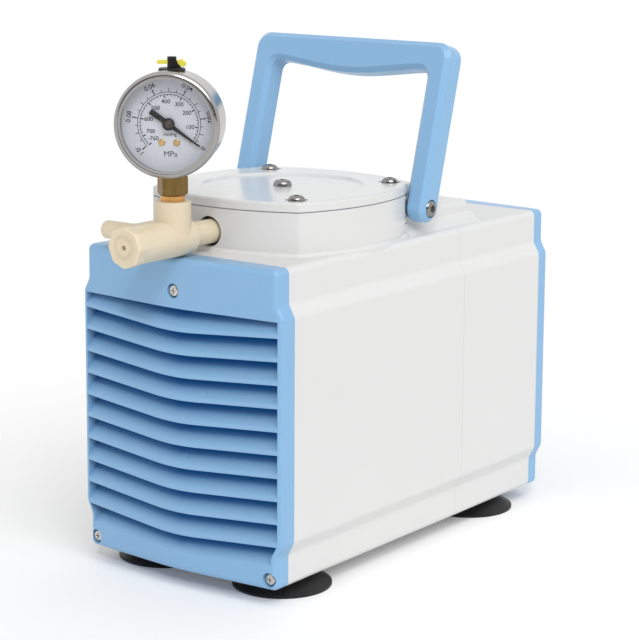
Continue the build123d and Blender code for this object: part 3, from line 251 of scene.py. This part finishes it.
def blue_moulding(name):
    """Blue plastic and its surface colour, before any painted shade is added."""
    finish = Finish(name, 0.32, Specular_IOR_Level=0.5)
    surface = finish.tone(finish.noise(22, 3), BLUE_LOW, BLUE_HIGH)
    finish.rough(finish.noise(70, 3), 0.24, 0.36)
    finish.grain(finish.noise(1100, 2), 0.08, 0.0002)
    return finish, surface


handle_blue = blue_moulding("handle_blue")[0]
handle_blue.onto("handle")

louvre_blue, louvre_surface = blue_moulding("louvre_blue")
front_low, front_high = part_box("front_cover")
rear_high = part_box("rear_cover")[1]
half_length = (rear_high.y - front_low.y) / 2
WINDOW_RIM = 0.0031
WAIST = 0.0038
BELT_H = 0.025
CAP_H = 0.0257
NOSE_RISE = 0.0056
PAINTED_SHADE_FROM = 0.0022
PAINTED_SHADE_TO = 0.0085
window_half = front_high.x - WINDOW_RIM
belt_low = front_low.z + BELT_H
window_top = front_high.z - CAP_H
across_cover = abs(louvre_blue.axis("X"))
along_cover = abs(louvre_blue.axis("Y") - (rear_high.y + front_low.y) / 2)
depth = half_length - along_cover - across_cover * (NOSE_RISE / front_high.x)
span = {"Value": depth, "From Min": PAINTED_SHADE_FROM, "From Max": PAINTED_SHADE_TO}
painted_recess_shade = louvre_blue.node("MapRange", {"interpolation_type": "SMOOTHSTEP"}, span)
height = louvre_blue.axis("Z")
room = window_half - WAIST * (height < belt_low)
in_window = (across_cover < room) * (height < window_top)
# Painted shade: the cover colour goes to deep blue in the recesses behind the blade noses, inside the
# louvre windows.
louvre_blue.tone(painted_recess_shade * in_window * 0.95, louvre_surface, BLUE_PAINTED_SHADE)
louvre_blue.onto("front_cover", "rear_cover")


# Inlet and rocker switch in the rear panel: black glass-filled plastic and brass contact blades.
black = Finish("black_moulding", 0.4, Specular_IOR_Level=0.3)
black.tone(black.noise(150, 3), (0.006, 0.006, 0.006), (0.014, 0.014, 0.014))
black.grain(black.noise(1500, 2), 0.25, 0.0002)
black.onto("inlet_body", "switch_body", "switch_rocker", "cooling_fan", "vent_plug", "vent_post")

bright_brass = Finish("bright_brass", 0.25, Metallic=1.0)
bright_brass.tone(bright_brass.noise(400, 2), (0.60, 0.36, 0.13), (0.78, 0.52, 0.22))
bright_brass.onto("inlet_pins", "dial_screws", "gauge_movement")


# Feet: soft black rubber suction discs, slightly grey with dust.
rubber = Finish("foot_rubber_skin", 0.5, Specular_IOR_Level=0.35)
rubber.tone(rubber.noise(120, 4), (0.006, 0.006, 0.007), (0.014, 0.014, 0.015))
rubber.rough(rubber.noise(90, 3), 0.36, 0.55)
rubber.grain(rubber.noise(1300, 3), 0.3, 0.0003)
rubber.onto("foot_front_left", "foot_front_right", "foot_rear_left", "foot_rear_right")


# Intake line: natural nylon tube, cross fitting, knob and needle. The plastic is creamy and lets
# some light in, a little darker where it is thick.
nylon = Finish("natural_nylon", 0.42, Subsurface_Weight=0.35, Subsurface_Scale=0.004)
nylon.set("Subsurface Radius", (1.0, 0.8, 0.5))
nylon.tone(nylon.noise(38, 3), (0.68, 0.57, 0.40), (0.78, 0.69, 0.53))
nylon.rough(nylon.noise(120, 3), 0.36, 0.5)
nylon.grain(nylon.noise(700, 2), 0.1, 0.0002)
nylon.onto("port_nipple", "cross_fitting", "regulating_knob", "valve_stem")


# Gauge: brass stem, drawn steel case with a polished bezel and a glass, printed dial.
stem_brass = Finish("dull_brass", 0.34, Metallic=1.0)
drawn = stem_brass.noise(350, 3, stem_brass.stretched(6, 6, 0.25))
hexagon_tone = stem_brass.tone(drawn, (0.13, 0.078, 0.022), (0.36, 0.235, 0.085))
COLLAR_H = 0.0028
thread_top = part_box("cross_fitting")[1].z + COLLAR_H
stem_brass.tone((stem_brass.axis("Z") < thread_top) * 0.9, hexagon_tone, (0.78, 0.42, 0.14))
stem_brass.rough(stem_brass.noise(240, 3), 0.26, 0.45)
stem_brass.grain(drawn, 0.15, 0.0002)
stem_brass.onto("gauge_stem")

gauge_axis = Vector(joints["pointer_turn"]["axis"]).normalized()
gauge_centre = Vector(joints["pointer_turn"]["pos_m"])
steel = Finish("polished_case_steel", 0.16, Metallic=1.0)
centre_to_here = {0: steel.place(), 1: tuple(gauge_centre)}
from_centre = steel.node("VectorMath", {"operation": "SUBTRACT"}, centre_to_here)
along_axis = {0: from_centre, 1: tuple(gauge_axis)}
in_front = steel.node("VectorMath", {"operation": "DOT_PRODUCT"}, along_axis, out=1)
reach = steel.node("VectorMath", {"operation": "LENGTH"}, {0: from_centre}, out=1)
radius = steel.node("Math", {"operation": "SQRT"}, {0: reach * reach - in_front * in_front})
rings = {"W": radius * 2100 + in_front * 900, "Detail": 2.0}
spun = steel.node("TexNoise", {"noise_dimensions": "1D"}, rings)
steel.tone(spun, (0.24, 0.235, 0.235), (0.56, 0.545, 0.53))
steel.rough(spun, 0.1, 0.24)
steel.onto("gauge_case", "gauge_bezel")

glass = Finish("gauge_window", 0.03, (0.5, 0.52, 0.55), Specular_IOR_Level=0.1)
glass.set("Alpha", 0.02 + glass.noise(30) * 0.02)
glass.onto("gauge_glass")

dial_white = Finish("dial_enamel", 0.4)
dial_white.tone(dial_white.noise(60, 2), (0.56, 0.58, 0.64), (0.64, 0.66, 0.72))
dial_white.onto("gauge_dial")

ink = Finish("dial_ink", 0.6, Specular_IOR_Level=0.15)
ink.tone(ink.noise(600, 2), (0.004, 0.004, 0.005), (0.012, 0.012, 0.014))
ink.onto("gauge_pointer")


def gauge_depth(node, pick):
    """How far in front of the stem the front-most or rear-most point of a gauge piece lies."""
    return pick((vertex.co - gauge_centre).dot(gauge_axis) for vertex in nodes[node].data.vertices)


across = Vector((0, 0, 1)).cross(gauge_axis).normalized()
to_dial = Matrix((across, (0, 0, 1), gauge_axis)).transposed().to_4x4()
dial_face = gauge_depth("gauge_dial", max)
MM = 0.001
INK_H = 0.02 * MM
INK_GAP = 0.01 * MM
BOLD = 0.014


def on_dial(radius, turn):
    """Point of the dial at a radius and an angle in degrees, in the radius's unit."""
    return radius * cos(radians(turn)), radius * sin(radians(turn))


def flat_ring(radius, width, start, end, steps=120):
    """Corners and faces of a printed arc, given in millimetres and degrees."""
    verts, faces = [], []
    for step in range(steps + 1):
        turn = radians(start + (end - start) * step / steps)
        for r in (radius - width / 2, radius + width / 2):
            for z in (0.0, INK_H):
                verts.append((r * MM * cos(turn), r * MM * sin(turn), z))
    for step in range(steps):
        a, b = 4 * step, 4 * step + 4
        faces += [(a + 1, a + 3, b + 3, b + 1), (a, b, b + 2, a + 2)]
        faces += [(a + 2, b + 2, b + 3, a + 3), (a, a + 1, b + 1, b)]
    last = 4 * steps
    faces += [(0, 2, 3, 1), (last, last + 1, last + 3, last + 2)]
    return verts, faces


def mesh_piece(name, parts):
    """One object from several lists of corners and faces."""
    verts, faces = [], []
    for part_verts, part_faces in parts:
        offset = len(verts)
        verts += part_verts
        faces += [tuple(i + offset for i in face) for face in part_faces]
    mesh = bpy.data.meshes.new(name)
    mesh.from_pydata(verts, [], faces)
    piece = bpy.data.objects.new(name, mesh)
    bpy.context.scene.collection.objects.link(piece)
    return piece


def taken_apart(thing):
    """Corners and faces of a working object as evaluated; the object is then removed."""
    bpy.context.view_layer.update()
    mesh = bpy.data.meshes.new_from_object(thing.evaluated_get(bpy.context.evaluated_depsgraph_get()))
    verts = [tuple(vertex.co) for vertex in mesh.vertices]
    faces = [tuple(face.vertices) for face in mesh.polygons]
    bpy.data.objects.remove(thing)
    bpy.data.meshes.remove(mesh)
    return verts, faces


def numeral(text, size, x, y, turn=0.0, bold=BOLD):
    """Corners and faces of a printed word, centred on a point of the dial."""
    curve = bpy.data.curves.new("numeral", "FONT")
    curve.body = text
    curve.size = size * MM
    curve.offset = size * bold * MM
    curve.align_x = "CENTER"
    curve.align_y = "CENTER"
    curve.extrude = INK_H / 2
    curve.resolution_u = 3
    writer = bpy.data.objects.new("numeral", curve)
    bpy.context.scene.collection.objects.link(writer)
    verts, faces = taken_apart(writer)
    place = Matrix.Translation((x * MM, y * MM, INK_H / 2)) @ Matrix.Rotation(radians(turn), 4, "Z")
    return [tuple(place @ Vector(vert)) for vert in verts], faces


SCALE_START = -35.0
SCALE_END = 224.0
INNER_END = 226.6
OUTER_RING = 16.4
INNER_RING = 15.2
RING_W = 0.32
TICK_W = 0.35
FINE_W = 0.3
MAJOR_TIP_W = 0.75
HUNDRED_TIP_W = 0.9
HALF_TIP = 17.8
UNIT_TIP = 18.5
MAJOR_TIP = 19.4
HUNDRED_TIP = 13.6
FINE_TIP = 14.3
OUTER_TEXT_R = 21.2
OUTER_TEXT = 3.5
INNER_TEXT = 3.1


def outer_turn(value):
    """Angle of a reading on the outer scale, in hundredths of its unit."""
    return 9.6 + (value - 2) * 26.8 if value > 0 else SCALE_START


def inner_turn(value):
    """Angle of a reading on the inner scale."""
    return -6.0 + (value - 100) * 0.3525


tick_tree = bpy.data.node_groups.new("dial_ticks", "GeometryNodeTree")
tick_sockets = {}
for name, kind in (
    ("Count", "Int"),
    ("First turn", "Float"),
    ("Step", "Float"),
    ("Inner radius", "Float"),
    ("Length", "Float"),
    ("Inner width", "Float"),
    ("Outer width", "Float"),
    ("Height", "Float"),
    ("Ink", "Material"),
):
    socket = tick_tree.interface.new_socket(name, in_out="INPUT", socket_type="NodeSocket" + kind)
    tick_sockets[name] = socket.identifier
tick_tree.interface.new_socket("Ticks", in_out="OUTPUT", socket_type="NodeSocketGeometry")
ticks = Maker(tick_tree)
given = {name: ticks.node("NodeGroupInput", out=name) for name in tick_sockets}
corner = ticks.node("GeometryNodeInputPosition")
along, beside, above = (ticks.node("SeparateXYZ", inputs={0: corner}, out=name) for name in "XYZ")
outward = along + 0.5
broad = given["Inner width"] + outward * (given["Outer width"] - given["Inner width"])
shape = {"X": given["Inner radius"] + outward * given["Length"], "Y": beside * broad}
shape["Z"] = (above + 0.5) * given["Height"]
cube = ticks.node("GeometryNodeMeshCube", inputs={"Size": (1, 1, 1)})
moved = {"Geometry": cube, "Position": ticks.node("CombineXYZ", inputs=shape)}
bar = ticks.node("GeometryNodeSetPosition", inputs=moved)
angle = given["First turn"] + ticks.node("GeometryNodeInputIndex") * given["Step"]
places = {
    "Points": ticks.node("GeometryNodePoints", inputs={"Count": given["Count"]}),
    "Instance": bar,
    "Rotation": ticks.node("CombineXYZ", inputs={"Z": angle}),
}
spread = ticks.node("GeometryNodeInstanceOnPoints", inputs=places)
real = ticks.node("GeometryNodeRealizeInstances", inputs={0: spread})
inked = ticks.node("GeometryNodeSetMaterial", inputs={"Geometry": real, "Material": given["Ink"]})
tick_tree.links.new(inked.socket, tick_tree.nodes.new("NodeGroupOutput").inputs[0])


def tick_fan(count, first, step, inner, outer, inner_width, outer_width):
    """Corners and faces of evenly turned ticks, given in degrees and millimetres."""
    fan = mesh_piece("tick_fan", [])
    modifier = fan.modifiers.new("ticks", "NODES")
    modifier.node_group = tick_tree
    values = {
        "Count": count,
        "First turn": radians(first),
        "Step": radians(step),
        "Inner radius": inner * MM,
        "Length": (outer - inner) * MM,
        "Inner width": inner_width * MM,
        "Outer width": outer_width * MM,
        "Height": INK_H,
        "Ink": ink.material,
    }
    for name, value in values.items():
        modifier[tick_sockets[name]] = value
    return taken_apart(fan)


half_unit = outer_turn(1.5) - outer_turn(1)
hundred = inner_turn(200) - inner_turn(100)
print_parts = [
    flat_ring(OUTER_RING, RING_W, SCALE_START, SCALE_END),
    flat_ring(INNER_RING, RING_W, SCALE_START, INNER_END),
    tick_fan(10, outer_turn(0.5), 2 * half_unit, OUTER_RING, HALF_TIP, TICK_W, TICK_W),
    tick_fan(5, outer_turn(1), 4 * half_unit, OUTER_RING, UNIT_TIP, TICK_W, TICK_W),
    tick_fan(5, outer_turn(2), 4 * half_unit, OUTER_RING, MAJOR_TIP, TICK_W, MAJOR_TIP_W),
    tick_fan(1, outer_turn(0), 0, OUTER_RING, MAJOR_TIP, TICK_W, MAJOR_TIP_W),
    tick_fan(7, inner_turn(100), hundred, HUNDRED_TIP, INNER_RING, HUNDRED_TIP_W, TICK_W),
    tick_fan(1, inner_turn(760), 0, HUNDRED_TIP, INNER_RING, HUNDRED_TIP_W, TICK_W),
]
for value, count in ((120, 7), (40, 8), (60, 7), (80, 7)):
    fine = tick_fan(count, inner_turn(value), hundred, FINE_TIP, INNER_RING, FINE_W, FINE_W)
    print_parts.append(fine)
for text, turn in (("0", -35), ("0.02", 10.5), ("0.04", 63), ("0.06", 118), ("0.08", 171)):
    print_parts.append(numeral(text, OUTER_TEXT, *on_dial(OUTER_TEXT_R, turn), turn - 90))
for text, radius, turn in (
    ("100", 10.9, -7.8),
    ("200", 10.9, 32.0),
    ("300", 11.4, 62.5),
    ("400", 11.6, 98.0),
    ("500", 10.7, 131.0),
    ("600", 10.9, 168.0),
    ("700", 10.4, 202.5),
    ("-760", 11.2, 222.5),
):
    print_parts.append(numeral(text, INNER_TEXT, *on_dial(radius, turn)))
print_parts.append(numeral("mmHg", 2.6, 0.4, -5.4))
print_parts.append(numeral("-0.1", OUTER_TEXT, *on_dial(OUTER_TEXT_R, 222.5), -47.5))
print_parts.append(numeral("MPa", 4.2, 0.6, -15.6, bold=0.0))
dial_print = mesh_piece("dial_print", print_parts)
print_at = gauge_centre + gauge_axis * (dial_face + INK_GAP)
dial_print.data.transform(Matrix.Translation(print_at) @ to_dial)
dial_print.data.materials.append(ink.material)
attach(dial_print, "pump_base")


# Hub of the pointer: a turned cap pressed on the arbor, and the small stop pin beside the zero.
def lathed(name, profile, steps=48):
    """Closed turned piece from (radius, height) points, radius zero at both ends."""
    verts = [(0, 0, profile[0][1])]
    for radius, height in profile[1:-1]:
        for step in range(steps):
            turn = 2 * pi * step / steps
            verts.append((radius * cos(turn), radius * sin(turn), height))
    verts.append((0, 0, profile[-1][1]))
    rings = len(profile) - 2
    faces = []
    for step in range(steps):
        after = (step + 1) % steps
        faces.append((0, 1 + after, 1 + step))
        for ring in range(rings - 1):
            low, high = 1 + ring * steps, 1 + (ring + 1) * steps
            faces.append((low + step, low + after, high + after, high + step))
        top = 1 + (rings - 1) * steps
        faces.append((top + step, top + after, len(verts) - 1))
    piece = mesh_piece(name, [(verts, faces)])
    for face in piece.data.polygons:
        face.use_smooth = True
    return piece


bronzed = Finish("bronzed_steel", 0.3, Metallic=1.0)
bronzed.tone(bronzed.noise(800, 2), (0.05, 0.036, 0.03), (0.13, 0.10, 0.085))
pointer_face = gauge_depth("gauge_pointer", max)
hub = [(0, 0), (2.2, 0), (2.25, 0.1), (2.2, 0.25), (1.9, 0.42), (1.1, 0.45), (0.95, 0.3), (0, 0.28)]
pointer_cap = lathed("pointer_cap", [(r * MM, z * MM) for r, z in hub])
pointer_cap.data.transform(Matrix.Translation(gauge_centre + gauge_axis * pointer_face) @ to_dial)
pointer_cap.data.materials.append(bronzed.material)
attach(pointer_cap, "pointer_body")

pin = [(0, 0), (0.45, 0), (0.45, 1.0), (0.3, 1.15), (0, 1.2)]
stop_pin = lathed("stop_pin", [(r * MM, z * MM) for r, z in pin], 24)
pin_across, pin_up = on_dial(14.4, -40)
pin_at = across * (pin_across * MM) + Vector((0, 0, pin_up * MM))
stop_pin.data.transform(Matrix.Translation(gauge_centre + pin_at + gauge_axis * dial_face) @ to_dial)
stop_pin.data.materials.append(bright_brass.material)
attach(stop_pin, "pump_base")


# Vent lever in the top of the gauge: glossy yellow plastic.
yellow = Finish("yellow_moulding", 0.35, Subsurface_Weight=0.15, Subsurface_Scale=0.002)
yellow.tone(yellow.noise(300, 2), (0.80, 0.70, 0.05), (0.88, 0.80, 0.10))
yellow.onto("vent_lever")


# Floor, light and camera: a white studio floor, a broad soft key from the upper right, a small
# sparkle lamp beside it and an even dome.
def sun(name, strength, spread, source):
    """Distant lamp that shines from a direction."""
    light = bpy.data.lights.new(name, "SUN")
    light.energy = strength
    light.angle = radians(spread)
    holder = bpy.data.objects.new(name, light)
    holder.rotation_euler = Vector(source).to_track_quat("Z", "Y").to_euler()
    bpy.context.scene.collection.objects.link(holder)


sun("soft_key", 1.45, 50, (0.63, -0.31, 0.712))
sun("sparkle", 0.4, 4, (0.45, -0.62, 0.65))

floor_finish = Finish("pale_floor", 0.9, Specular_IOR_Level=0.1)
floor_finish.tone(floor_finish.noise(3, 2), (0.955, 0.955, 0.955), (0.965, 0.965, 0.965))
floor_finish.set("Emission Strength", 0.05)
seen_directly = floor_finish.node("LightPath", out="Is Camera Ray")
floor_finish.set("Emission Color", floor_finish.mix(seen_directly, (0, 0, 0), (1, 1, 1)))
FLOOR_HALF = 30
corners = [(x * FLOOR_HALF, y * FLOOR_HALF, 0) for x, y in ((-1, -1), (1, -1), (1, 1), (-1, 1))]
floor = mesh_piece("floor", [(corners, [(0, 1, 2, 3)])])
floor.data.materials.append(floor_finish.material)

# The dome: white behind the object and overhead, even and weaker as a light. Polished metal also shows
# the dark part of the studio, low down on the side that the object faces.
DOME_LIGHT = 0.6
DARK_SIDE = 0.12
world = bpy.data.worlds.new("studio")
bpy.context.scene.world = world
world.use_nodes = True

sky = Maker(world.node_tree)
dome = world.node_tree.nodes["Background"]
dome.inputs["Color"].default_value = (1, 1, 1, 1)
direction = sky.node("TexCoord", out="Generated")
toward_viewer = {0: direction, 1: (0.6, -0.8, 0.0)}
facing = sky.node("VectorMath", {"operation": "DOT_PRODUCT"}, toward_viewer, out=1)
climb = sky.node("SeparateXYZ", inputs={0: direction}, out="Z")
frontness = sky.node("MapRange", inputs={"Value": facing, "From Min": 0.3, "From Max": 0.75})
lowness = sky.node("MapRange", inputs={"Value": climb, "From Min": 0.75, "From Max": 0.35})
mirrored = 1 - frontness * lowness * (1 - DARK_SIDE)
camera_ray = sky.node("LightPath", out="Is Camera Ray")
glossy_ray = sky.node("LightPath", out="Is Glossy Ray")
through_ray = sky.node("LightPath", out="Is Transmission Ray")
plain = sky.node("Math", {"operation": "MAXIMUM"}, {0: camera_ray, 1: through_ray})
lit = plain + glossy_ray * (1 - plain) * mirrored + (1 - plain) * (1 - glossy_ray) * DOME_LIGHT
world.node_tree.links.new(lit.socket, dome.inputs["Strength"])

CAMERA_TURN = 37.013
CAMERA_TILT = 10.26
CAMERA_ROLL = 0.316
camera_data = bpy.data.cameras.new("camera")
camera_data.lens = 119.56
camera_data.shift_y = -0.10
camera = bpy.data.objects.new("camera", camera_data)
camera.location = (0.7177, -0.9401, 0.3781)
aim = Matrix.Rotation(radians(CAMERA_TURN), 4, "Z")
aim = aim @ Matrix.Rotation(radians(90 - CAMERA_TILT), 4, "X")
camera.rotation_euler = (aim @ Matrix.Rotation(radians(CAMERA_ROLL), 4, "Z")).to_euler()
bpy.context.scene.collection.objects.link(camera)
bpy.context.scene.camera = camera
bpy.context.scene.view_settings.view_transform = "Standard"
